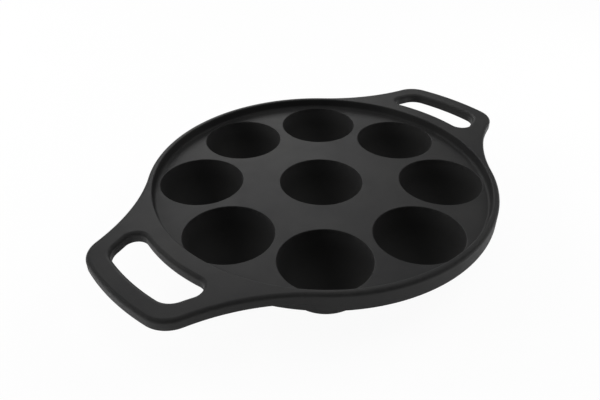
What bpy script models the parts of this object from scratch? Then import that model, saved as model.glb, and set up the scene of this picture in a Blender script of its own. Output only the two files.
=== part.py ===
"""A cast-iron paniyaram pan: nine round-bottomed cups in a rimmed plate, with two loop handles.

The pan stands on the flats of its cups, with the middle cup on the Z axis and the handles along X.
The whole pan is one iron casting. It is modelled feature by feature, so each feature is its own
solid: the cooking plate with its rim, the nine cups hung in it and the two handles.
"""

import math

import bmesh
import bpy

# Sizes, in metres
SEAM = 0.0003  # clearance between neighbouring features

RING_CUPS = 8
CUP_MOUTH_RADIUS = 0.0275
CUP_DEPTH = 0.0255
CUP_WALL = 0.0035
CUP_FLOOR = 0.0041  # the bottom is thicker than the sides, because it sits on the flame
CUP_LIP_ROUND = 0.0005
CUP_LAND = 0.0062  # iron between the mouths of two neighbouring ring cups
COLLAR_LAND = 0.0002  # flat between a lip's round and the seam round the cup
FOOT_GRIND = 0.0005  # ground off each cup's bottom, so that it stands on a flat

PLATE_THICKNESS = 0.0055
RIM_HEIGHT = 0.0066  # rim above the cooking face
RIM_GAP = 0.0029  # from a ring cup's mouth out to the rim's inner edge
RIM_FILLET = 0.0022  # hollow at the foot of the rim's inner wall
RIM_DRAFT = math.radians(4)  # lean of that wall, so that the casting leaves its mould
RIM_LAND = 0.0019  # flat on top of the rim
EDGE_ROUND = 0.0024  # rounded outer edge of the rim, and of the handles
RIM_FOOT_ROUND = 0.001

HANDLE_THICKNESS = 0.0069
HANDLE_LOWER_ROUND = 0.0006  # height that is left of the handles' lower round, cut flat
HANDLE_REACH = 0.0432  # from the rim's wall to the handle's far side
HANDLE_CORNER = 0.018
HANDLE_BLEND = 0.127  # hollow sweep from the rim into the handle's side
HANDLE_ROOT_ANGLE = math.radians(42.7)  # from a handle's middle to where its side meets the rim
SLOT_ROOT_LAND = 0.0075  # from the rim's wall to the finger slot
SLOT_ROOT_CORNER = 0.0075
SLOT_END_BAR = 0.0123  # iron beyond the slot
SLOT_SIDE_BAR = 0.0125  # iron at each end of the slot
SLOT_END_CORNER = 0.0115

# Facets
PAN_STEPS = 72
CUP_STEPS = 32
BOWL_STEPS = 5
ROUND_STEPS = 3
SWEEP_STEPS = 10
CORNER_STEPS = 7  # at each corner of a handle and of its slot
END_STEPS = 4  # from a handle's middle to the corner, along its end

# Heights, from the flats that the pan stands on
DECK_Z = CUP_DEPTH + CUP_FLOOR - FOOT_GRIND
UNDERSIDE_Z = DECK_Z - PLATE_THICKNESS
RIM_TOP_Z = DECK_Z + RIM_HEIGHT
HANDLE_UNDERSIDE_Z = RIM_TOP_Z - HANDLE_THICKNESS

# Radii from the pan's axis
PITCH_RADIUS = (2 * CUP_MOUTH_RADIUS + CUP_LAND) / (2 * math.sin(math.pi / RING_CUPS))
RIM_EDGE_RADIUS = PITCH_RADIUS + CUP_MOUTH_RADIUS + RIM_GAP
HANDLE_SEAT_RADIUS = RIM_EDGE_RADIUS + RIM_LAND
RIM_RADIUS = HANDLE_SEAT_RADIUS + EDGE_ROUND
HANDLE_END_RADIUS = RIM_RADIUS + HANDLE_REACH

# A cup's inner sphere meets the cooking face at the mouth, and its outer one hangs a little lower
CUP_INNER_RADIUS = (CUP_MOUTH_RADIUS**2 + CUP_DEPTH**2) / (2 * CUP_DEPTH)
CUP_OUTER_RADIUS = CUP_INNER_RADIUS + CUP_WALL
CUP_CENTRE_RISE = CUP_INNER_RADIUS - CUP_DEPTH  # inner sphere's centre above the cooking face
CUP_OUTER_RISE = CUP_CENTRE_RISE + CUP_WALL - CUP_FLOOR
LIP_CENTRE_RADIUS = math.sqrt(
    (CUP_INNER_RADIUS + CUP_LIP_ROUND) ** 2 - (CUP_CENTRE_RISE + CUP_LIP_ROUND) ** 2
)
COLLAR_RADIUS = LIP_CENTRE_RADIUS + COLLAR_LAND
PLATE_HOLE_RADIUS = COLLAR_RADIUS + SEAM

CUTTER_MARGIN = 0.01  # how far a cutter runs past what it cuts
WELD_DISTANCE = 0.00001
CRISP_ANGLE = math.radians(35)  # an edge with a sharper turn than this is shaded as an edge


def polar(radius, angle, centre=(0.0, 0.0)):
    """The point at this radius and angle from a centre."""
    return (centre[0] + radius * math.cos(angle), centre[1] + radius * math.sin(angle))


def arc(centre, radius, start, end, steps):
    """Points along an arc, from the start angle to the end angle, both included."""
    turn = (end - start) / steps
    return [polar(radius, start + turn * i, centre) for i in range(steps + 1)]


def bearing(origin, target):
    """The angle of the line from one point to another."""
    return math.atan2(target[1] - origin[1], target[0] - origin[0])


def angle_between(side_a, side_b, opposite):
    """The angle between two sides of a triangle whose third side is known."""
    return math.acos((side_a**2 + side_b**2 - opposite**2) / (2 * side_a * side_b))


def ring_angles():
    return [2 * math.pi * i / RING_CUPS for i in range(RING_CUPS)]


def new_collection(name):
    collection = bpy.data.collections.new(name)
    bpy.context.scene.collection.children.link(collection)
    return collection


def cast_iron(name, roughness):
    """Seasoned cast iron: near black, with a soft sheen."""
    material = bpy.data.materials.new(name)
    material.use_nodes = True
    surface = material.node_tree.nodes["Principled BSDF"]
    surface.inputs["Base Color"].default_value = (0.045, 0.045, 0.046, 1.0)
    surface.inputs["Roughness"].default_value = roughness
    surface.inputs["Metallic"].default_value = 0.3
    return material


def add_object(name, data, collection, material=None):
    if material:
        data.materials.append(material)
    obj = bpy.data.objects.new(name, data)
    collection.objects.link(obj)
    return obj


def as_cutter(obj):
    obj.hide_render = True
    obj.display_type = "WIRE"
    return obj


def turned(name, profile, steps, collection, material, closed=False):
    """A profile of (radius, height) points, turned about its object's Z axis."""
    mesh = bpy.data.meshes.new(name)
    edges = [(i, i + 1) for i in range(len(profile) - 1)]
    if closed:
        edges.append((len(profile) - 1, 0))
    mesh.from_pydata([(radius, 0.0, height) for radius, height in profile], edges, [])
    obj = add_object(name, mesh, collection, material)
    screw = obj.modifiers.new("Turn", "SCREW")
    screw.axis = "Z"
    screw.angle = 2 * math.pi
    screw.steps = screw.render_steps = steps
    screw.use_merge_vertices = True
    screw.merge_threshold = WELD_DISTANCE
    return obj


def made_mesh(obj, collection, material=None):
    """Replaces an object that has modifiers, or a curve, by the mesh that it evaluates to."""
    bpy.context.view_layer.update()
    evaluated = obj.evaluated_get(bpy.context.evaluated_depsgraph_get())
    mesh = bpy.data.meshes.new_from_object(evaluated)
    welded = bmesh.new()
    welded.from_mesh(mesh)
    bmesh.ops.remove_doubles(welded, verts=welded.verts, dist=WELD_DISTANCE)
    welded.to_mesh(mesh)
    welded.free()
    mesh.materials.clear()
    name, placed = obj.name, obj.matrix_world.copy()
    bpy.data.objects.remove(obj)
    made = add_object(name, mesh, collection, material)
    made.matrix_world = placed
    return made


def prism(name, outlines, low, high, collection, edge_round=0.0):
    """A flat plate between two heights. The first outline is its edge, and the others are holes.

    An outer outline runs anticlockwise and a hole clockwise, so that the rounded edge, which a
    curve's bevel adds outside its line, comes back to the line through the negative offset.
    """
    curve = bpy.data.curves.new(name, "CURVE")
    curve.dimensions = "2D"
    curve.fill_mode = "BOTH"
    curve.extrude = (high - low) / 2 - edge_round
    curve.bevel_depth = edge_round
    curve.bevel_resolution = ROUND_STEPS - 2
    curve.offset = -edge_round
    for outline in outlines:
        spline = curve.splines.new("POLY")
        spline.points.add(len(outline) - 1)
        for point, (x, y) in zip(spline.points, outline):
            point.co = (x, y, 0.0, 1.0)
        spline.use_cyclic_u = True
    obj = add_object(name, curve, collection)
    obj.location.z = (low + high) / 2
    return made_mesh(obj, collection)


def boolean(obj, operation, cutter):
    modifier = obj.modifiers.new(cutter.name, "BOOLEAN")
    modifier.operation = operation
    modifier.solver = "EXACT"
    modifier.object = cutter


def shade(obj):
    """Smooth round the curves and crisp along the edges."""
    obj.data.shade_smooth()
    obj.data.set_sharp_from_angle(angle=CRISP_ANGLE)


def sector(half_angle, inner_radius, outer_radius):
    """Outline of a slice of a ring, centred on the X axis."""
    steps = PAN_STEPS // 3
    outside = arc((0, 0), outer_radius, -half_angle, half_angle, steps)
    return outside + arc((0, 0), inner_radius, half_angle, -half_angle, steps)


def cup_profile():
    """Section of a cup, from the middle of its bottom up the inside and down the outside."""
    centre = (0.0, CUP_CENTRE_RISE)
    lip_centre = (LIP_CENTRE_RADIUS, -CUP_LIP_ROUND)
    mouth_angle = bearing(centre, lip_centre)
    shoulder = -PLATE_THICKNESS - SEAM
    outer_centre = (0.0, CUP_OUTER_RISE)
    shoulder_angle = math.asin((shoulder - CUP_OUTER_RISE) / CUP_OUTER_RADIUS)
    foot_angle = math.asin((-DECK_Z - CUP_OUTER_RISE) / CUP_OUTER_RADIUS)
    inside = arc(centre, CUP_INNER_RADIUS, -math.pi / 2, mouth_angle, BOWL_STEPS)
    lip = arc(lip_centre, CUP_LIP_ROUND, math.pi + mouth_angle, math.pi / 2, ROUND_STEPS - 1)
    collar = [(COLLAR_RADIUS, 0.0), (COLLAR_RADIUS, shoulder)]
    outside = arc(outer_centre, CUP_OUTER_RADIUS, shoulder_angle, foot_angle, BOWL_STEPS - 1)
    return [(0.0, -CUP_DEPTH)] + inside[1:] + lip[1:] + collar + outside + [(0.0, -DECK_Z)]


def facet_turn():
    """Half a facet of a cup, which keeps a hole's corners off the plate's own facet edges."""
    return math.pi / CUP_STEPS


def build_cups(collection, material):
    """The middle cup, and the ring of cups round it."""
    middle = turned("cup_centre", cup_profile(), CUP_STEPS, collection, material)
    middle = made_mesh(middle, collection, material)
    middle.location.z = DECK_Z
    shade(middle)
    for number, angle in enumerate(ring_angles(), start=1):
        cup = bpy.data.objects.new(f"cup_{number}", middle.data)
        collection.objects.link(cup)
        cup.location = (*polar(PITCH_RADIUS, angle), DECK_Z)
        cup.rotation_euler.z = angle + facet_turn()


def plate_profile():
    """Section of the plate and its rim, from the middle hole outwards and back underneath."""
    fillet_radius = (
        RIM_EDGE_RADIUS
        - (RIM_HEIGHT - RIM_FILLET) * math.tan(RIM_DRAFT)
        - RIM_FILLET / math.cos(RIM_DRAFT)
    )
    round_radius = RIM_RADIUS - EDGE_ROUND
    foot_radius = RIM_RADIUS - RIM_FOOT_ROUND
    foot = RIM_FOOT_ROUND - PLATE_THICKNESS
    profile = [(PLATE_HOLE_RADIUS, 0.0)]
    profile += arc(
        (fillet_radius, RIM_FILLET), RIM_FILLET, -math.pi / 2, -RIM_DRAFT, ROUND_STEPS
    )
    profile += [(RIM_EDGE_RADIUS, RIM_HEIGHT)]
    profile += arc(
        (round_radius, RIM_HEIGHT - EDGE_ROUND), EDGE_ROUND, math.pi / 2, 0.0, ROUND_STEPS
    )
    profile += arc((foot_radius, foot), RIM_FOOT_ROUND, 0.0, -math.pi / 2, ROUND_STEPS - 1)
    return profile + [(PLATE_HOLE_RADIUS, -PLATE_THICKNESS)]


def cut_cup_holes(plate, cutters):
    """Cuts the ring of holes that the cups hang in."""
    for number, angle in enumerate(ring_angles(), start=1):
        bpy.ops.mesh.primitive_cylinder_add(
            vertices=CUP_STEPS,
            radius=PLATE_HOLE_RADIUS,
            depth=PLATE_THICKNESS + RIM_HEIGHT + 2 * CUTTER_MARGIN,
            location=(*polar(PITCH_RADIUS, angle), (UNDERSIDE_Z + RIM_TOP_Z) / 2),
            rotation=(0.0, 0.0, angle + facet_turn() + math.pi / 2),
        )
        cutter = as_cutter(bpy.context.object)
        cutter.name = f"cup_hole_cutter_{number}"
        for owner in list(cutter.users_collection):
            owner.objects.unlink(cutter)
        cutters.objects.link(cutter)
        boolean(plate, "DIFFERENCE", cutter)


def cut_handle_seats(plate, cutters):
    """Steps the rim's outer side down where the roots of the handles lie on it."""
    end_gap = SEAM / RIM_RADIUS
    seat = sector(
        HANDLE_ROOT_ANGLE + end_gap, HANDLE_SEAT_RADIUS - SEAM, RIM_RADIUS + CUTTER_MARGIN
    )
    for side, turn in (("right", 0.0), ("left", math.pi)):
        cutter = prism(
            f"handle_seat_cutter_{side}",
            [seat],
            HANDLE_UNDERSIDE_Z - SEAM,
            RIM_TOP_Z + CUTTER_MARGIN,
            cutters,
        )
        cutter.rotation_euler.z = turn
        boolean(plate, "DIFFERENCE", as_cutter(cutter))


def build_plate(collection, cutters, material):
    """The round cooking plate and its raised rim, turned in one."""
    plate = turned(
        "cooking_plate", plate_profile(), PAN_STEPS, collection, material, closed=True
    )
    plate.location.z = DECK_Z
    cut_cup_holes(plate, cutters)
    cut_handle_seats(plate, cutters)
    shade(made_mesh(plate, collection, material))


def sweep_centre():
    """Centre of the hollow sweep at the handle's +Y side."""
    return polar(RIM_RADIUS + HANDLE_BLEND, HANDLE_ROOT_ANGLE)


def corner_centre(end_radius, side_radius, corner):
    """Centre of the corner between an arc about the pan's axis and one about the sweep's centre."""
    to_sweep = RIM_RADIUS + HANDLE_BLEND
    turn = angle_between(end_radius - corner, to_sweep, side_radius + corner)
    return polar(end_radius - corner, HANDLE_ROOT_ANGLE - turn)


def across_middle(radius, angle):
    """Points of an arc about the pan's axis, between its ends at minus and plus the angle."""
    return arc((0, 0), radius, -angle, angle, 2 * END_STEPS)[1:-1]


def mirrored(points, end):
    """A half outline at +Y, from the root to the end arc, joined to its mirror image at -Y."""
    return [(x, -y) for x, y in points] + end + points[::-1]


def handle_outline():
    """The handle's edge, anticlockwise, from inside the rim round the loop and back."""
    sweep = sweep_centre()
    corner = corner_centre(HANDLE_END_RADIUS, HANDLE_BLEND, HANDLE_CORNER)
    corner_angle = bearing((0, 0), corner)
    to_corner = bearing(sweep, corner)
    to_rim = HANDLE_ROOT_ANGLE - math.pi
    beyond_root = HANDLE_ROOT_ANGLE + CUTTER_MARGIN / RIM_RADIUS
    half = [polar(HANDLE_SEAT_RADIUS - 2 * CUTTER_MARGIN, beyond_root)]
    half += [polar(RIM_RADIUS, beyond_root)]
    half += arc(sweep, HANDLE_BLEND, to_rim, to_corner, SWEEP_STEPS)
    half += arc(corner, HANDLE_CORNER, to_corner + math.pi, corner_angle, CORNER_STEPS)[1:]
    return mirrored(half, across_middle(HANDLE_END_RADIUS, corner_angle))


def slot_outline():
    """The finger slot: an arc round the rim, two sides along the sweeps, and an arc at the end."""
    sweep = sweep_centre()
    root_radius = RIM_RADIUS + SLOT_ROOT_LAND
    end_radius = HANDLE_END_RADIUS - SLOT_END_BAR
    side_radius = HANDLE_BLEND + SLOT_SIDE_BAR
    root = corner_centre(
        root_radius + 2 * SLOT_ROOT_CORNER, side_radius, SLOT_ROOT_CORNER
    )
    corner = corner_centre(end_radius, side_radius, SLOT_END_CORNER)
    root_angle = bearing((0, 0), root)
    corner_angle = bearing((0, 0), corner)
    to_root = bearing(sweep, root)
    to_corner = bearing(sweep, corner)
    half = arc(root, SLOT_ROOT_CORNER, root_angle + math.pi, to_root + math.pi, CORNER_STEPS)
    half += arc(sweep, side_radius, to_root, to_corner, ROUND_STEPS)[1:]
    half += arc(corner, SLOT_END_CORNER, to_corner + math.pi, corner_angle, CORNER_STEPS)[1:]
    loop = mirrored(half, across_middle(end_radius, corner_angle))
    return across_middle(root_radius, root_angle) + loop[::-1]


def build_handles(collection, cutters, material):
    """Two loop handles, level with the rim's top, whose roots lie in the rim's seats."""
    reach = sector(HANDLE_ROOT_ANGLE, HANDLE_SEAT_RADIUS, HANDLE_END_RADIUS + CUTTER_MARGIN)
    keep = prism(
        "handle_reach",
        [reach],
        HANDLE_UNDERSIDE_Z,
        RIM_TOP_Z + CUTTER_MARGIN,
        cutters,
    )
    right = prism(
        "handle_right",
        [handle_outline(), slot_outline()],
        HANDLE_UNDERSIDE_Z + HANDLE_LOWER_ROUND - EDGE_ROUND,
        RIM_TOP_Z,
        collection,
        edge_round=EDGE_ROUND,
    )
    boolean(right, "INTERSECT", as_cutter(keep))
    right = made_mesh(right, collection, material)
    shade(right)
    left = bpy.data.objects.new("handle_left", right.data)
    collection.objects.link(left)
    left.location = right.location
    left.rotation_euler.z = math.pi


def main():
    for obj in list(bpy.data.objects):
        bpy.data.objects.remove(obj)
    pan = new_collection("paniyaram_pan")
    cutters = new_collection("cutters")
    build_plate(pan, cutters, cast_iron("plate_iron", 0.5))
    build_cups(pan, cast_iron("cup_iron", 0.55))
    build_handles(pan, cutters, cast_iron("handle_iron", 0.5))


main()
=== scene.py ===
# %% [markdown]
# # A cast-iron pan for nine round dumplings
# The real pan is one iron casting: a flat cooking plate with a raised rim, nine hemispherical
# cups and a loop handle at each side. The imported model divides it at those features, with a
# narrow gap between neighbours. This file dresses each feature with a finer surface. The new
# surfaces meet without a gap, so the pan looks like the single casting that it is.

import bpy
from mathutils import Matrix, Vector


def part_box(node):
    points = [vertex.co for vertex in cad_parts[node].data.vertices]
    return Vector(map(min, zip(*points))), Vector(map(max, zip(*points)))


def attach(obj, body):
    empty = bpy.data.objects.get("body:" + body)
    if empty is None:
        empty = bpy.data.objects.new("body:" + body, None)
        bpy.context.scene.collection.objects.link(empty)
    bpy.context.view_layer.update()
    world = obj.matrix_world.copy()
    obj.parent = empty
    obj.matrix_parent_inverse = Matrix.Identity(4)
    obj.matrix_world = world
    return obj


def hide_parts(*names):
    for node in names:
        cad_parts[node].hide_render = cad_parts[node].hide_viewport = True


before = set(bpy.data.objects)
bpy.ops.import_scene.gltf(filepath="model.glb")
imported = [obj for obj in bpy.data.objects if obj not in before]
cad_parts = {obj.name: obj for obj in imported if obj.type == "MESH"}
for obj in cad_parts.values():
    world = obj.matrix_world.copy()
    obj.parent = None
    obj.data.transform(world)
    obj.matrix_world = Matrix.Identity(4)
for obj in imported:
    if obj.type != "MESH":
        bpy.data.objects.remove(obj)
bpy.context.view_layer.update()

# %% [markdown]
# ## Sizes
# A dressed piece has to sit exactly where its solid sits. So the main heights and radii are read
# from the boxes of the solids, and only the small ones, which no box shows, are written down.

# %% Sizes of the pan, in metres
import math

import bmesh
import bpy
import numpy as np
from mathutils import Matrix, Vector

MM = 0.001
RING_CUPS = 8
MOUTH_RADIUS = 27.5 * MM
CUP_DEPTH = 25.5 * MM
CUP_WALL = 3.5 * MM
GROUND_OFF = 0.5 * MM
LIP_ROUND = 0.5 * MM
RIM_LAND = 1.9 * MM
EDGE_ROUND = 2.4 * MM

plate_low, plate_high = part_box("cooking_plate")
cup_low, cup_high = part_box("cup_1")
handle_low, handle_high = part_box("handle_right")

rim_top_z = plate_high.z
underside_z = plate_low.z
deck_z = cup_high.z
rim_radius = plate_high.y
pitch = (cup_low.x + cup_high.x) / 2
handle_end = handle_high.x
handle_under_z = handle_low.z
print(f"rim {2 * rim_radius / MM:.1f} mm across, cups on a circle of {2 * pitch / MM:.1f} mm")
print(f"pan {2 * handle_end / MM:.1f} mm over the handles and {rim_top_z / MM:.1f} mm high")

# %% [markdown]
# ## From grids of points to a closed mesh
# Every surface here is a grid: one parameter runs along its rows and one along its columns. A
# piece of the casting is a few grids that share their edges. Points that fall on each other are
# made one, so the piece closes like a skin. A modelling tool would call this joining by
# distance, and here it is one search for equal rows in an array.

# %% Helpers for grids
WELD = 1e-7
LATTICE_SHIFT = 0.37
CRISP_ANGLE = math.radians(33)


def grid_faces(rows, columns):
    """Corner numbers of the quads between neighbouring rows and columns of a grid."""
    number = np.arange(rows * columns).reshape(rows, columns)
    corners = number[:-1, :-1], number[:-1, 1:], number[1:, 1:], number[1:, :-1]
    return np.stack(corners, axis=-1).reshape(-1, 4)


def joined(grids):
    """All grids as one set of points and faces, where points in the same place are one point.

    Two points are in the same place if they fall in one cell of a lattice as fine as the weld.
    The lattice is shifted by a part of a cell, so round sizes don't lie on its borders.
    """
    points = np.concatenate([grid.reshape(-1, grid.shape[-1]) for grid in grids])
    starts = np.cumsum([0] + [grid.shape[0] * grid.shape[1] for grid in grids])
    faces = [grid_faces(*grid.shape[:2]) + start for grid, start in zip(grids, starts)]
    cells = np.floor(points[:, :3] / WELD + LATTICE_SHIFT).astype(np.int64)
    _, first, number = np.unique(cells, axis=0, return_index=True, return_inverse=True)
    faces = number.reshape(-1)[np.concatenate(faces)]
    same = faces == np.roll(faces, -1, axis=1)
    quads = faces[~same.any(axis=1)]
    folded = same.sum(axis=1) == 1
    triangles = faces[folded][~same[folded]].reshape(-1, 3)
    return points[first], quads, triangles


def grid_mesh(name, grids):
    """One mesh of all grids, and the fourth number of each of its points."""
    points, quads, triangles = joined(grids)
    mesh = bpy.data.meshes.new(name)
    mesh.from_pydata(points[:, :3], [], quads.tolist() + triangles.tolist())
    return mesh, points[:, 3]


def placed(name, data):
    """Puts a mesh, a lamp or a camera into the scene as an object."""
    thing = bpy.data.objects.new(name, data)
    bpy.context.scene.collection.objects.link(thing)
    return thing


def casting_piece(name, node, grids, slot):
    """A closed piece that stands for one solid. The fourth number of each point is its wear,
    painted shade and painted light.
    """
    mesh, point_wear_and_shade = grid_mesh(name, grids)
    skin = bmesh.new()
    skin.from_mesh(mesh)
    bmesh.ops.recalc_face_normals(skin, faces=skin.faces)
    loose = sum(not edge.is_manifold for edge in skin.edges)
    volume = skin.calc_volume()
    skin.to_mesh(mesh)
    skin.free()
    # This value is real wear on the rounds, and painted shade and painted light in the bowls and
    # the rim's hollow.
    wear_and_shade = mesh.attributes.new("wear_and_shade", "FLOAT", "POINT")
    wear_and_shade.data.foreach_set("value", point_wear_and_shade.astype(np.float32))
    mesh.shade_smooth()
    mesh.set_sharp_from_angle(angle=CRISP_ANGLE)
    mesh.materials.append(irons[slot])
    piece = placed(name, mesh)
    piece.modifiers.new("Even normals", "WEIGHTED_NORMAL").keep_sharp = True
    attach(piece, "root")
    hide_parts(node)
    print(f"{name}: {len(mesh.polygons)} faces, {loose} open edges, {volume / MM**3:.0f} mm3")


# %% [markdown]
# ## Profiles
# Turned forms start as a profile: a line of radii and heights. Rounds and hollows in it are
# arcs, and the rest is straight. The third number is the wear and painted shade. Above zero,
# hands and cloths have rubbed the iron, as on the high rounds, and at the top of a bowl's wall
# it is painted light. Below zero, the colour is painted darker as shade, as in a hollow. An arc
# has its full value in its middle.

# %% Helpers for profiles
ROUND_WEAR = 0.3
# The rim's hollow and its inner round are painted darker as shade.
PAINTED_RIM_SHADE = -0.3


def arc(centre, radius, start, end, steps, wear_and_shade=0.0):
    """Points at the centre plus the radius times the cosine and sine of evenly spaced degrees."""
    angle = np.radians(np.linspace(start, end, steps + 1))
    across = centre[0] + radius * np.cos(angle)
    up = centre[1] + radius * np.sin(angle)
    wear_and_shade_amount = wear_and_shade * np.sin(np.linspace(0, math.pi, steps + 1))
    return np.stack([across, up, wear_and_shade_amount], axis=-1)


def turned(profile, angles, centre=(0.0, 0.0)):
    """Carries a profile round a vertical axis: x and y are the radius times cosine and sine."""
    radius, height, wear_and_shade = (profile[:, i, None] for i in range(3))
    x = centre[0] + radius * np.cos(angles)
    y = centre[1] + radius * np.sin(angles)
    flat = np.zeros_like(x)
    return np.stack([x, y, height + flat, wear_and_shade + flat], axis=-1)


def spread(inner, outer, shares):
    """Rows between two lines: the inner point plus a share of the way to the outer point."""
    return inner + (outer - inner) * np.asarray(shares)[:, None, None]


def raised(plan, height, wear_and_shade=0.0):
    """Gives a grid of x and y its heights and its wear and painted shade."""
    flat = np.zeros(plan.shape[:2])
    return np.stack([plan[..., 0], plan[..., 1], height + flat, wear_and_shade + flat], axis=-1)


def polar(radius, angle):
    """Points at a radius and an angle: radius times cosine, radius times sine."""
    return np.stack([radius * np.cos(angle), radius * np.sin(angle)], axis=-1)


# %% [markdown]
# ## A grid that goes round nine holes
# The cooking face is a disc with nine holes, which no single grid covers. It is cut like a cake
# into eight slices, one for each ring cup, and a disc in the middle. Each slice is a grid whose
# first row goes round the hole and whose last row goes round the edge of the slice. Neighbouring
# slices have the same points on the cut between them, so they join.

# %% Slices round the ring cups
HALF_SLICE = math.pi / RING_CUPS
RIM_STEPS = 34
CUT_STEPS = 26
MIDDLE_STEPS = 10
CUP_COLUMNS = RIM_STEPS + 2 * CUT_STEPS + MIDDLE_STEPS


def all_round(steps):
    """Angles once round the pan from the first cut, with this many steps in each slice."""
    return np.linspace(-HALF_SLICE, 2 * math.pi - HALF_SLICE, RING_CUPS * steps + 1)


ring_turns = np.arange(RING_CUPS) * 2 * HALF_SLICE
rim_angles = all_round(RIM_STEPS)
middle_angles = all_round(MIDDLE_STEPS)
cup_angles = (np.arange(CUP_COLUMNS + 1) - RIM_STEPS / 2) * 2 * math.pi / CUP_COLUMNS


def slice_edge(inner, outer):
    """Edge of the slice round cup 1: along the rim, down one cut, and back up the other.

    On a cut, the ray from the cup at angle a meets the cut at the distance from the pan's axis
    of the pitch times sin(a) over sin(a - half a slice).
    """
    rays = cup_angles[RIM_STEPS + 1 : RIM_STEPS + CUT_STEPS]
    reach = pitch * np.sin(rays) / np.sin(rays - HALF_SLICE)
    cut = np.concatenate([[outer], reach, [inner]])
    along_rim = np.linspace(-HALF_SLICE, HALF_SLICE, RIM_STEPS + 1)
    along_middle = np.linspace(HALF_SLICE, -HALF_SLICE, MIDDLE_STEPS + 1)
    sides = [
        polar(outer, along_rim)[:-1],
        polar(cut, HALF_SLICE)[:-1],
        polar(inner, along_middle)[:-1],
        polar(cut[::-1], -HALF_SLICE),
    ]
    return np.concatenate(sides)


def turn_plan(plan, angle):
    """Turns a grid of x and y about the pan's axis."""
    cosine, sine = math.cos(angle), math.sin(angle)
    return plan @ np.array([[cosine, sine], [-sine, cosine]])


def disc_with_holes(hole_radius, middle_radius, outer_radius, shares):
    """Plans of the nine grids between the holes of this radius and the edge of the disc."""
    hole = polar(hole_radius, cup_angles) + (pitch, 0.0)
    one = spread(hole, slice_edge(middle_radius, outer_radius), shares)
    slices = [turn_plan(one, turn) for turn in ring_turns]
    centre = spread(polar(hole_radius, middle_angles), polar(middle_radius, middle_angles), shares)
    return [centre] + slices


print(f"{CUP_COLUMNS} points round each ring cup, {len(rim_angles) - 1} round the rim")

# %% [markdown]
# ## The underside, where nine balls run into a plate
# Under the plate the cups are balls, and the casting has a soft hollow where a ball meets the
# plate and a saddle where two balls almost touch. A fillet tool can't do both well. Here every
# surface has a distance, and a rule blends them: the fillet's radius minus each distance, where
# that is above zero, is squared, and the skin is where the root of the sum equals the radius.
# For two surfaces at a right angle this gives a quarter circle.

# %% Height of the underside
BLEND = 2.5 * MM
SEARCH_FROM_Z = -2 * MM
SEARCH_PAST_PLATE = 1 * MM
HALVINGS = 40

bowl_radius = (MOUTH_RADIUS**2 + CUP_DEPTH**2) / (2 * CUP_DEPTH)
bowl_z = deck_z - CUP_DEPTH + bowl_radius
ball_radius = bowl_radius + CUP_WALL
ball_z = ball_radius - GROUND_OFF
ring_centres = polar(pitch, ring_turns)
ball_centres = np.concatenate([np.zeros((1, 2)), ring_centres])


def underside(plan):
    """Height of the skin over each x and y, found by halving the range that it lies in."""
    gap = plan[..., None, :] - ball_centres
    away = (gap**2).sum(axis=-1)
    low = np.full(plan.shape[:2], SEARCH_FROM_Z)
    high = np.full(plan.shape[:2], underside_z + SEARCH_PAST_PLATE)
    for _ in range(HALVINGS):
        middle = (low + high) / 2
        to_plate = underside_z - middle
        to_balls = np.sqrt(away + (middle[..., None] - ball_z) ** 2) - ball_radius
        distances = np.concatenate([to_plate[..., None], to_balls], axis=-1)
        inside = (np.maximum(BLEND - distances, 0) ** 2).sum(axis=-1) > BLEND**2
        high = np.where(inside, middle, high)
        low = np.where(inside, low, middle)
    return np.maximum(high, 0.0)


between = [pitch * math.cos(HALF_SLICE) ** 2, pitch * math.sin(2 * HALF_SLICE) / 2]
saddle = underside(np.array([[between]])).item()
print(f"the saddle between two ring cups is {(underside_z - saddle) / MM:.1f} mm below the plate")

# %% [markdown]
# ## Nodes for the materials
# A material is a tree of nodes. These helpers write the few kinds that the pan, the paper and
# the room need. A value that goes into a node is a number, a colour or the output of another.

# %% Helpers for nodes
NOISE_ROUGHNESS = 0.6
# Sockets of a mix node that has colours: its share and its two colours, then its result.
MIX_INPUTS = (0, 6, 7)
MIX_RESULT = 2


def feed(tree, socket, value):
    """Gives a socket its value, or links it to the output that the value comes from."""
    if isinstance(value, bpy.types.NodeSocket):
        tree.links.new(value, socket)
    else:
        socket.default_value = value


def add_node(tree, kind, **sockets):
    """A new node, with values for the sockets of these names."""
    node = tree.nodes.new(kind)
    for name, value in sockets.items():
        feed(tree, node.inputs[name], value)
    return node


def noise(tree, place, scale, detail):
    """Cloudy noise in Object coordinates, with this many clouds in a metre."""
    settings = {"Scale": scale, "Detail": detail, "Roughness": NOISE_ROUGHNESS}
    node = add_node(tree, "ShaderNodeTexNoise", Vector=place.outputs["Object"], **settings)
    return node.outputs["Fac"]


def ranged(tree, value, low, high, out_low, out_high):
    """Stretches the values between low and high to a new range."""
    node = tree.nodes.new("ShaderNodeMapRange")
    for socket, given in zip(node.inputs, (value, low, high, out_low, out_high)):
        feed(tree, socket, given)
    return node.outputs["Result"]


def maths(tree, operation, *values):
    """A sum or a product. For MULTIPLY_ADD it is the first times the second, plus the third."""
    node = tree.nodes.new("ShaderNodeMath")
    node.operation = operation
    for socket, value in zip(node.inputs, values):
        feed(tree, socket, value)
    return node.outputs[0]


def mixed(tree, share, first, second):
    """A colour between two, by share."""
    node = tree.nodes.new("ShaderNodeMix")
    node.data_type = "RGBA"
    for number, value in zip(MIX_INPUTS, (share, first, second)):
        feed(tree, node.inputs[number], value)
    return node.outputs[MIX_RESULT]


def bumped(tree, height, distance, strength, **before):
    """Lifts the surface by a pattern. A bump that is given as Normal comes before it."""
    settings = {"Height": height, "Distance": distance, "Strength": strength}
    return add_node(tree, "ShaderNodeBump", **settings, **before).outputs["Normal"]


def light_path(tree, ray, share, rest):
    """A number that is share plus rest for this kind of ray, and rest for all others."""
    path = tree.nodes.new("ShaderNodeLightPath")
    return maths(tree, "MULTIPLY_ADD", path.outputs[ray], share, rest)
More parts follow.
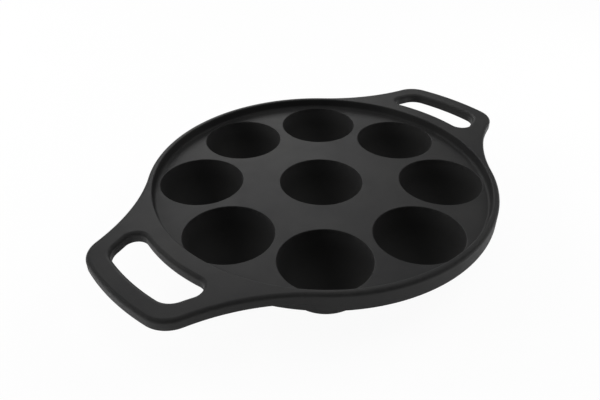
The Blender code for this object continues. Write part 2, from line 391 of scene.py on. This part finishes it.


# %% [markdown]
# ## Seasoned cast iron
# Iron cast in sand keeps a fine grain. Burnt-on oil then makes it nearly black, with a satin
# sheen that is uneven from place to place. So the colour is very dark, the sheen comes from a
# middling roughness, and two sizes of noise lift the surface: grains of half a millimetre and
# shallow lumps of a few. Where the wear value is below zero, the colour is painted blacker as
# shade and the iron is duller. Where it is above zero, scuffs show the barer iron, and at the
# top of a bowl's wall the same lighter colour is painted light. All patterns read Object
# coordinates, which run on from one piece of the casting to the next, so no seam shows.

# %% The iron's material
BLACK = (0.017, 0.017, 0.0175, 1.0)
SMOKY = (0.0242, 0.024, 0.0236, 1.0)
# The lighter colour is rubbed iron on the rounds, and painted light at the top of a bowl's wall.
RUBBED_AND_PAINTED_LIGHT = (0.042, 0.0412, 0.0403, 1.0)
# The blackest colour is painted shade, for the bowls, the rim's hollow and its inner round.
PAINTED_SHADE_BLACK = (0.0115, 0.0114, 0.0112, 1.0)
IRON_IOR = 1.5
LUMP_HEIGHT = 0.25 * MM
LUMP_STRENGTH = 0.12
GRAIN_HEIGHT = 0.1 * MM
GRAIN_STRENGTH = 0.3

# Clouds in a metre, and the finer layers in each.
PATCHES = (22.0, 3.0)
SHEEN = (75.0, 3.0)
LUMPS = (210.0, 3.0)
SCUFFS = (340.0, 4.0)
GRAINS = (1500.0, 2.0)

# From this range of the noise or of the wear and painted shade, to this range of colour or
# roughness.
PATCH_SHARE = (0.35, 0.65, 0.0, 1.0)
SCUFF_SHARE = (0.42, 0.66, 0.1, 1.0)
SATIN = (0.3, 0.7, 0.48, 0.53)
# The share of painted shade in the colour, and how much duller it makes the iron there.
PAINTED_SHADE_SHARE = (-1.0, 0.0, 1.0, 0.0)
DULLER_IN_PAINTED_SHADE = (-1.0, 0.0, 0.3, 0.0)


def seasoned_iron(name):
    """Near-black iron: cloudy colour, worn edges, painted shade and light, uneven sheen and the
    grain of the sand.
    """
    material = bpy.data.materials.new(name)
    material.use_nodes = True
    tree = material.node_tree
    surface = tree.nodes["Principled BSDF"]
    place = tree.nodes.new("ShaderNodeTexCoord")
    attribute = tree.nodes.new("ShaderNodeAttribute")
    attribute.attribute_name = "wear_and_shade"
    wear_and_shade = attribute.outputs["Fac"]

    patches = ranged(tree, noise(tree, place, *PATCHES), *PATCH_SHARE)
    oily = mixed(tree, patches, BLACK, SMOKY)
    # Below zero the colour goes to the blackest: painted shade.
    with_painted_shade = mixed(tree, ranged(tree, wear_and_shade, *PAINTED_SHADE_SHARE), oily, PAINTED_SHADE_BLACK)
    # Above zero: scuffs on the rubbed rounds, and painted light at the top of a bowl's wall.
    scuffs_and_painted_light = maths(tree, "MULTIPLY", wear_and_shade, ranged(tree, noise(tree, place, *SCUFFS), *SCUFF_SHARE))
    feed(tree, surface.inputs["Base Color"], mixed(tree, scuffs_and_painted_light, with_painted_shade, RUBBED_AND_PAINTED_LIGHT))

    satin = ranged(tree, noise(tree, place, *SHEEN), *SATIN)
    dull = maths(tree, "ADD", satin, ranged(tree, wear_and_shade, *DULLER_IN_PAINTED_SHADE))
    feed(tree, surface.inputs["Roughness"], dull)

    lumps = bumped(tree, noise(tree, place, *LUMPS), LUMP_HEIGHT, LUMP_STRENGTH)
    grain = bumped(tree, noise(tree, place, *GRAINS), GRAIN_HEIGHT, GRAIN_STRENGTH, Normal=lumps)
    feed(tree, surface.inputs["Normal"], grain)
    surface.inputs["IOR"].default_value = IRON_IOR
    return material


slots = ("plate_iron", "cup_iron", "handle_iron")
irons = {slot: seasoned_iron("seasoned_" + slot) for slot in slots}
print("finishes:", sorted(irons))

# %% [markdown]
# ## The cooking plate and its rim
# The plate is flat inside the rim. The rim's inner wall rises out of a small hollow, leans
# outwards so that the casting leaves its sand mould, and ends in a narrow flat land. The outer
# edge is well rounded. The profile follows the skin of the rim from the cooking face over the
# top and down to the underside, and the sliced discs close it above and below.

# %% Plate piece
HOLLOW = 2.0 * MM
DRAFT = 4.0
INNER_EDGE_ROUND = 1.0 * MM
FOOT_ROUND = 1.0 * MM
SEAM_PAST_LIP = 0.05 * MM
SEAM_UNDER_RADIUS = 30.3 * MM
MIDDLE_RADIUS = 40 * MM
FACE_ROWS = 9
UNDER_ROWS = 25

seam_radius = MOUTH_RADIUS + LIP_ROUND + SEAM_PAST_LIP
land_radius = rim_radius - EDGE_ROUND
foot_edge = rim_radius - FOOT_ROUND
rim_edge = land_radius - RIM_LAND
lean = math.tan(math.radians(DRAFT))
straight = math.cos(math.radians(DRAFT))
rim_height = rim_top_z - deck_z
hollow_radius = rim_edge - (rim_height - HOLLOW) * lean - HOLLOW / straight
inner_round_z = rim_top_z - INNER_EDGE_ROUND
inner_round_radius = rim_edge - INNER_EDGE_ROUND * lean + INNER_EDGE_ROUND / straight

wall_foot = (hollow_radius, deck_z + HOLLOW)
wall_top = (inner_round_radius, inner_round_z)
outer_top = (land_radius, rim_top_z - EDGE_ROUND)
outer_foot = (foot_edge, underside_z + FOOT_ROUND)
rim_profile = np.concatenate(
    [
        # The hollow and the inner round get painted shade.
        arc(wall_foot, HOLLOW, -90, -DRAFT, steps=9, wear_and_shade=PAINTED_RIM_SHADE),
        arc(wall_top, INNER_EDGE_ROUND, 180 - DRAFT, 90, steps=5, wear_and_shade=PAINTED_RIM_SHADE),
        arc(outer_top, EDGE_ROUND, 90, 0, steps=12, wear_and_shade=ROUND_WEAR),
        arc(outer_foot, FOOT_ROUND, 0, -90, steps=6, wear_and_shade=ROUND_WEAR),
    ]
)
face_shares = np.linspace(0, 1, FACE_ROWS)
under_shares = np.linspace(0, 1, UNDER_ROWS) ** 2

face_plans = disc_with_holes(seam_radius, MIDDLE_RADIUS, hollow_radius, face_shares)
under_plans = disc_with_holes(SEAM_UNDER_RADIUS, MIDDLE_RADIUS, foot_edge, under_shares)
face_grids = [raised(plan, deck_z) for plan in face_plans]
under_grids = [raised(plan, underside(plan)) for plan in under_plans]
hole_walls = [np.stack([face[0], under[0]]) for face, under in zip(face_grids, under_grids)]

plate_grids = face_grids + under_grids + hole_walls + [turned(rim_profile, rim_angles)]
casting_piece("iron_plate", "cooking_plate", plate_grids, "plate_iron")

# %% [markdown]
# ## The nine cups
# Inside, a cup is a little less than half a ball, so that a dumpling can be turned in it with a
# stick. A small round leads from the bowl onto the cooking face. The bowl is painted blacker as
# shade, and the top of its wall is painted lighter as light. Outside, the ball is a few
# millimetres larger, and its bottom is ground flat so that the pan stands still.

# %% Cup pieces
LIP_WEAR = 0.1
# Painted shade at the bowl's bottom, and painted light at the top of its wall.
BOWL_BOTTOM_SHADE = -1.0
BOWL_TOP_LIGHT = 0.8
BOWL_STEPS = 40
LIP_STEPS = 6
BALL_ROWS = 28
UNDER_HOLLOW_ROWS = 8

lip_radius = math.sqrt((bowl_radius + LIP_ROUND) ** 2 - (bowl_z - deck_z + LIP_ROUND) ** 2)
mouth_angle = math.degrees(math.atan2(deck_z - LIP_ROUND - bowl_z, lip_radius))
foot_radius = math.sqrt(ball_radius**2 - ball_z**2)
hollow_turn = math.acos((ball_z - underside_z + BLEND) / (ball_radius + BLEND))
hollow_centre = (ball_radius + BLEND) * math.sin(hollow_turn)

# Painted shade up to two thirds of the way, then painted light that grows with the square of the
# way that is left.
bowl = arc((0, bowl_z), bowl_radius, -90, mouth_angle, BOWL_STEPS)
lighter_to_lip = np.clip(np.linspace(-2.0, 1, len(bowl)), 0, 1) ** 2
bowl[:, 2] = BOWL_BOTTOM_SHADE + (BOWL_TOP_LIGHT - BOWL_BOTTOM_SHADE) * lighter_to_lip

lip_centre = (lip_radius, deck_z - LIP_ROUND)
lip = arc(lip_centre, LIP_ROUND, 180 + mouth_angle, 90, LIP_STEPS, LIP_WEAR)
bowl_profile = np.concatenate([bowl, lip, [[seam_radius, deck_z, 0.0]]])

ball_turns = np.linspace(math.asin(foot_radius / ball_radius), hollow_turn, BALL_ROWS)
seam_turn = math.acos((hollow_centre - SEAM_UNDER_RADIUS) / BLEND)
hollow_turns = np.linspace(math.pi / 2 - hollow_turn, seam_turn, UNDER_HOLLOW_ROWS)[1:]
under_radii = np.concatenate(
    [ball_radius * np.sin(ball_turns), hollow_centre - BLEND * np.cos(hollow_turns)]
)


def build_cup(name, node, angles, centre):
    """Bowl, outer ball, foot, and the hidden wall that faces the plate."""
    inside = turned(bowl_profile, angles, centre)
    plan = polar(under_radii[:, None], angles) + centre
    ball = raised(plan, underside(plan))
    foot = raised(spread(np.zeros_like(plan[0]) + centre, plan[0], [0.0, 1.0]), 0.0)
    wall = np.stack([inside[-1], ball[-1]])
    casting_piece(name, node, [inside, ball, foot, wall], "cup_iron")


build_cup("iron_cup_centre", "cup_centre", middle_angles, np.zeros(2))
for number, (turn, centre) in enumerate(zip(ring_turns, ring_centres), start=1):
    build_cup(f"iron_cup_{number}", f"cup_{number}", cup_angles + turn, centre)
print(f"bowls {2 * MOUTH_RADIUS / MM:.0f} mm across and {CUP_DEPTH / MM:.1f} mm deep")

# %% [markdown]
# ## The two loop handles
# A handle is level with the rim's top. Its sides sweep out of the rim in a hollow curve, turn
# round two corners and run along a slow arc, and a slot for the fingers follows them inside.
# The surface is a closed section carried round the slot. At each step the section joins one
# point of the slot's line to one point of the outer line, so both lines have the same count of
# points. Under the root, the section drops in a hollow that meets the rim's wall.

# %% Lines of the handle
ROOT_ANGLE = math.radians(42.7)
SWEEP = 127 * MM
CORNER = 18 * MM
SLOT_ROOT = 7.5 * MM
SLOT_ROOT_CORNER = 7.5 * MM
SLOT_END_BAR = 12.3 * MM
SLOT_SIDE_BAR = 12.5 * MM
SLOT_END_CORNER = 11.5 * MM
WING_LEAD = math.radians(2)
FAN_PAST = math.radians(4)

END_POINTS = 16
CORNER_POINTS = 24
SIDE_POINTS = 10
WING_POINTS = 36
FAN_POINTS = 28
ROOT_POINTS = 16

sweep_reach = rim_radius + SWEEP
sweep_centre = polar(sweep_reach, ROOT_ANGLE)


def corner_centre(end_radius, side_radius, corner):
    """Centre of a round that touches an arc about the pan's axis and one about the sweep's.

    The three centres make a triangle, and the law of cosines gives its angle at the pan's axis.
    """
    near = end_radius - corner
    opposite = side_radius + corner
    turn = math.acos((near**2 + sweep_reach**2 - opposite**2) / (2 * near * sweep_reach))
    return polar(near, ROOT_ANGLE - turn)


def bearing(origin, target):
    """Angle of the line from one point to another."""
    return math.atan2(target[1] - origin[1], target[0] - origin[0])


def run(centre, radius, start, end, steps, facing=1.0):
    """Points of an arc, and at each the direction away from its centre, or towards it."""
    angle = np.linspace(start, end, steps)
    return np.asarray(centre) + polar(radius, angle), facing * polar(1.0, angle)


def line(*runs):
    """Joins runs into half a line, then adds its mirror image to close the loop."""
    points = np.concatenate([points for points, _ in runs])
    facing = np.concatenate([facing for _, facing in runs])
    flip = np.array([1.0, -1.0])
    return (
        np.concatenate([points, points[-2::-1] * flip]),
        np.concatenate([facing, facing[-2::-1] * flip]),
    )


corner = corner_centre(handle_end, SWEEP, CORNER)
corner_angle = bearing((0, 0), corner)
slot_end = handle_end - SLOT_END_BAR
slot_root = rim_radius + SLOT_ROOT
slot_side = SWEEP + SLOT_SIDE_BAR
slot_corner = corner_centre(slot_end, slot_side, SLOT_END_CORNER)
slot_corner_angle = bearing((0, 0), slot_corner)
root_corner = corner_centre(slot_root + 2 * SLOT_ROOT_CORNER, slot_side, SLOT_ROOT_CORNER)
root_angle = bearing((0, 0), root_corner)
side_start = bearing(sweep_centre, corner)
slot_side_start = bearing(sweep_centre, slot_corner)
slot_side_end = bearing(sweep_centre, root_corner)
wing_start = slot_side_end - WING_LEAD
wing_end = ROOT_ANGLE - math.pi
fan_end = root_angle + FAN_PAST

# Where the sweep touches the rim, the sections have to run along both. This is the place on the
# slot's corner that their common tangent meets, level with the flat's edge.
tangent_gap = land_radius - root_corner @ polar(1.0, ROOT_ANGLE)
fan_turn = ROOT_ANGLE + math.acos(tangent_gap / (SLOT_ROOT_CORNER + EDGE_ROUND))

outer_line, outer_facing = line(
    run((0, 0), handle_end, 0, corner_angle, END_POINTS),
    run(corner, CORNER, corner_angle, side_start + math.pi, CORNER_POINTS),
    run(sweep_centre, SWEEP, side_start, wing_start, SIDE_POINTS, -1.0),
    run(sweep_centre, SWEEP, wing_start, wing_end, WING_POINTS, -1.0),
    run((0, 0), land_radius, ROOT_ANGLE, fan_end, FAN_POINTS),
    run((0, 0), land_radius, fan_end, 0, ROOT_POINTS),
)
slot_line, slot_facing = line(
    run((0, 0), slot_end, 0, slot_corner_angle, END_POINTS),
    run(slot_corner, SLOT_END_CORNER, slot_corner_angle, slot_side_start + math.pi, CORNER_POINTS),
    run(sweep_centre, slot_side, slot_side_start, slot_side_end, SIDE_POINTS, -1.0),
    run(root_corner, SLOT_ROOT_CORNER, slot_side_end + math.pi, fan_turn, WING_POINTS),
    run(root_corner, SLOT_ROOT_CORNER, fan_turn, root_angle + math.pi, FAN_POINTS),
    run((0, 0), slot_root, root_angle, 0, ROOT_POINTS, -1.0),
)
in_root = np.isclose(np.hypot(*outer_line.T), land_radius)
print(f"{len(outer_line)} points on each line; slot {np.ptp(slot_line[:, 1]) / MM:.1f} mm wide")

# %% [markdown]
# ## Sections of the handle
# Each section is a flat bar. Its upper edges are well rounded for the hand, and its lower edges
# are barely eased. Where the outer line runs inside the rim's flat land, it has no round, so the
# handle's top and the rim's top are one plane. A solid modeller would cut the rim's hollow out
# of the bar. Here the lower face just takes its height from the distance to the rim's wall.

# %% Handle pieces
LOWER_EASE = 0.5 * MM
ROOT_HOLLOW = 2.0 * MM
EASE_ROWS = 4
ROUND_ROWS = 10
HOLLOW_ROWS = 11
FLAT_ROWS = 4
HOLLOW_CROWDING = 1.5

# Limits, in shares of the section's width, for where the lower face leaves the rim's wall and
# where its hollow ends. They keep the rows apart where a section runs along the wall.
WALL_SHARES = (0.02, 0.8)
LEAST_HOLLOW = 0.08
LAST_CLEAR = 0.92


def lower_z(plan):
    """Height of the handle's lower face: a quarter circle under the root, flat further out.

    Nearer the rim's wall than the hollow's radius, the drop is that radius minus the height of
    the circle above its centre.
    """
    from_wall = np.clip(np.hypot(plan[..., 0], plan[..., 1]) - rim_radius, 0, ROOT_HOLLOW)
    drop = ROOT_HOLLOW - np.sqrt(ROOT_HOLLOW**2 - (ROOT_HOLLOW - from_wall) ** 2)
    return handle_under_z - drop


def edge_rows(edge, facing, radius, ease):
    """Section rows of one edge, from its lower face up the wall and over the round to the top."""
    turn = np.linspace(0, math.pi / 2, EASE_ROWS)[:, None]
    inset = ease * (1 - np.sin(turn))
    plan = edge + facing * inset[..., None]
    low = raised(plan, lower_z(plan) + ease * (1 - np.cos(turn)))
    turn = np.linspace(0, math.pi / 2, ROUND_ROWS)[:, None]
    plan = edge + facing * (radius * (1 - np.cos(turn)))[..., None]
    wear_and_shade_amount = ROUND_WEAR * np.sin(2 * turn) * (radius > 0)
    high = raised(plan, rim_top_z - radius * (1 - np.sin(turn)), wear_and_shade_amount)
    return np.concatenate([low, high])


def share_at(start, end, radius):
    """Share of the way from start to end at which a line leaves a circle about the pan's axis.

    It is the larger root of the quadratic equation whose terms are the step's square, twice the
    start times the step, and the start's square minus the radius's.
    """
    step = end - start
    a = (step**2).sum(axis=-1)
    b = 2 * (start * step).sum(axis=-1)
    c = (start**2).sum(axis=-1) - radius**2
    root = np.sqrt(np.maximum(b**2 - 4 * a * c, 0))
    return np.where(c < 0, (root - b) / (2 * a), 0.0)


def lower_shares(start, end):
    """Rows of the lower face, as shares of the way from the outer edge to the slot's."""
    wall = np.clip(share_at(start, end, rim_radius), *WALL_SHARES)
    past_hollow = share_at(start, end, rim_radius + ROOT_HOLLOW)
    clear = np.clip(past_hollow, wall + LEAST_HOLLOW, LAST_CLEAR)
    crowded = np.linspace(0, 1, HOLLOW_ROWS)[:, None] ** HOLLOW_CROWDING
    hollow = wall + (clear - wall) * crowded
    flat = clear + (1 - clear) * np.linspace(0, 1, FLAT_ROWS)[1:, None]
    return np.concatenate([hollow, flat])[..., None]


def build_handle(name, node, turn):
    """The section's rows in order: slot edge, top, outer edge turned over, and lower face."""
    rounded = np.where(in_root, 0.0, EDGE_ROUND)
    eased = np.where(in_root, 0.0, LOWER_EASE)
    everywhere = np.ones(len(slot_line))
    slot_rows = edge_rows(slot_line, slot_facing, EDGE_ROUND * everywhere, LOWER_EASE * everywhere)
    outer_rows = edge_rows(outer_line, -outer_facing, rounded, eased)[::-1]
    start, end = outer_rows[-1, :, :2], slot_rows[0, :, :2]
    plan = start + (end - start) * lower_shares(start, end)
    rows = np.concatenate([slot_rows, outer_rows, raised(plan, lower_z(plan))])
    rows[..., :2] = turn_plan(rows[..., :2], turn)
    casting_piece(name, node, [rows], "handle_iron")


build_handle("iron_handle_right", "handle_right", 0.0)
build_handle("iron_handle_left", "handle_left", math.pi)

# %% [markdown]
# ## The white sweep
# The photograph has no backdrop to see: the pan stands in plain white, and its shadow is faint.
# A studio gets this from a sheet of pale paper that lies under the pan and rises behind it. The
# iron's walls mirror the paper on the floor, and the shadow that the pan throws on it. The sheet
# rises low, behind and to the right. It lies flat in front of the pan, where the room is dim,
# so the bowls stay black.

# %% White sweep
# The paper's shade for matt surfaces, and what gloss and the camera see more of it.
PAPER = 0.3
MORE_IN_GLOSS = 0.5
MORE_ON_CAMERA = 0.62

# The share of it that glows white of itself, with no shadow.
GLOW_IN_GLOSS = 0.1
GLOW_ON_CAMERA = 0.95
WHITE = (1.0, 1.0, 1.0, 1.0)

SWEEP_RADIUS = 1.6
SWEEP_BEND = 0.3
SWEEP_HEIGHT = 0.35
SWEEP_MIDDLE = math.radians(35)
SWEEP_SPREAD = 1.4
BEND_STEPS = 16
SWEEP_COLUMNS = 96


def sweep_material():
    """Paper that the camera sees as white with a trace of the pan's shadow.

    The iron mirrors it as pale paper with the whole of that shadow, lifted by a trace. For matt
    surfaces it is a middling grey, so that it throws little light back up at the pan.
    """
    material = bpy.data.materials.new("pale_paper")
    material.use_nodes = True
    tree = material.node_tree
    tree.nodes.clear()
    output = tree.nodes.new("ShaderNodeOutputMaterial")
    pale = light_path(tree, "Is Glossy Ray", MORE_IN_GLOSS, PAPER)
    shade = light_path(tree, "Is Camera Ray", MORE_ON_CAMERA, pale)
    paper = add_node(tree, "ShaderNodeBsdfDiffuse", Color=shade)
    glow = add_node(tree, "ShaderNodeEmission", Color=WHITE, Strength=1.0)
    blend = tree.nodes.new("ShaderNodeMixShader")
    mirrored = light_path(tree, "Is Glossy Ray", GLOW_IN_GLOSS, 0.0)
    share = light_path(tree, "Is Camera Ray", GLOW_ON_CAMERA, mirrored)
    for socket, value in zip(blend.inputs, (share, paper.outputs[0], glow.outputs[0])):
        feed(tree, socket, value)
    tree.links.new(blend.outputs[0], output.inputs["Surface"])
    return material


sweep_profile = np.concatenate(
    [
        [[0.0, 0.0, 0.0]],
        arc((SWEEP_RADIUS - SWEEP_BEND, SWEEP_BEND), SWEEP_BEND, -90, 0, BEND_STEPS),
        [[SWEEP_RADIUS, SWEEP_HEIGHT, 0.0]],
    ]
)
sweep_angles = np.linspace(0, 2 * math.pi, SWEEP_COLUMNS + 1)
sweep_grid = turned(sweep_profile, sweep_angles)
sweep_grid[..., 2] *= np.clip(SWEEP_SPREAD * np.cos(sweep_angles - SWEEP_MIDDLE), 0, 1)
sweep_mesh, _ = grid_mesh("sweep", [sweep_grid])
sweep_mesh.shade_smooth()
sweep_mesh.materials.append(sweep_material())
sweep = placed("sweep", sweep_mesh)
print(f"the sweep rises {SWEEP_HEIGHT} m, {SWEEP_RADIUS} m from the pan")

# %% [markdown]
# ## Lamps and room
# The cooking face is brightest at the left and behind, and the bowls are light only on their
# right walls. So most light comes from behind and from the left. One softbox behind is what the
# sheen mirrors. Three lamps that gloss doesn't see bring a colour to about the level at which it
# is written: a key at the back left, a ceiling, and a small one at the right. The last one lights
# the paper beside the pan, which the near wall of the rim mirrors. The room itself is dark, but
# the camera sees it as white as the paper, so the paper's edge doesn't show.

# %% Lamps and room
ROOM = 0.09
MORE_ROOM_ON_CAMERA = 0.86


def from_pan(azimuth, elevation, distance):
    """The place that is seen from the pan in this direction, in degrees from +X and the floor."""
    turn, rise = math.radians(azimuth), math.radians(elevation)
    level = distance * math.cos(rise)
    return (level * math.cos(turn), level * math.sin(turn), distance * math.sin(rise))


def softbox(name, place, width, height, watts):
    """A rectangular lamp that faces the pan."""
    data = bpy.data.lights.new(name, "AREA")
    data.shape = "RECTANGLE"
    data.size = width
    data.size_y = height
    data.energy = watts
    lamp = placed(name, data)
    lamp.location = place
    lamp.rotation_euler = (-Vector(place)).to_track_quat("-Z", "Y").to_euler()
    return lamp


behind = from_pan(azimuth=56, elevation=32, distance=1.3)
back_left = from_pan(azimuth=128, elevation=29, distance=1.0)
overhead = (0.0, -0.001, 1.5)
at_right = from_pan(azimuth=-22, elevation=42, distance=0.65)

sheen_box = softbox("sheen_box", behind, width=0.85, height=0.5, watts=2.2)
matt_lamps = [
    softbox("key_box", back_left, width=0.8, height=0.4, watts=7.0),
    softbox("ceiling_box", overhead, width=1.2, height=1.2, watts=4.6),
    softbox("side_box", at_right, width=0.4, height=0.3, watts=1.85),
]
for lamp in matt_lamps:
    lamp.visible_glossy = False

world = bpy.data.worlds.new("dim_room")
bpy.context.scene.world = world
world.use_nodes = True
room = world.node_tree.nodes["Background"]
room.inputs["Color"].default_value = WHITE
strength = light_path(world.node_tree, "Is Camera Ray", MORE_ROOM_ON_CAMERA, ROOM)
feed(world.node_tree, room.inputs["Strength"], strength)
print("lamps:", sheen_box.name, *(lamp.name for lamp in matt_lamps))

# %% [markdown]
# ## Camera
# The nine mouths are equal circles on one plane, so their nine ellipses in the photograph give
# the camera: the direction and distance at which they all come out right at once.

# %% Camera
LENS = 35.47
CAMERA_PLACE = (-0.24401, -0.22391, 0.24830)
BACKWARDS = (-0.5766, -0.5766, 0.5790)

right = Vector((math.sqrt(0.5), -math.sqrt(0.5), 0.0))
back = Vector(BACKWARDS).normalized()
up = back.cross(right)
camera_data = bpy.data.cameras.new("camera")
camera_data.lens = LENS
camera = placed("camera", camera_data)
towards_pan = Matrix((right, up, back)).transposed().to_4x4()
camera.matrix_world = Matrix.Translation(CAMERA_PLACE) @ towards_pan
bpy.context.scene.camera = camera
bpy.context.scene.view_settings.view_transform = "Standard"
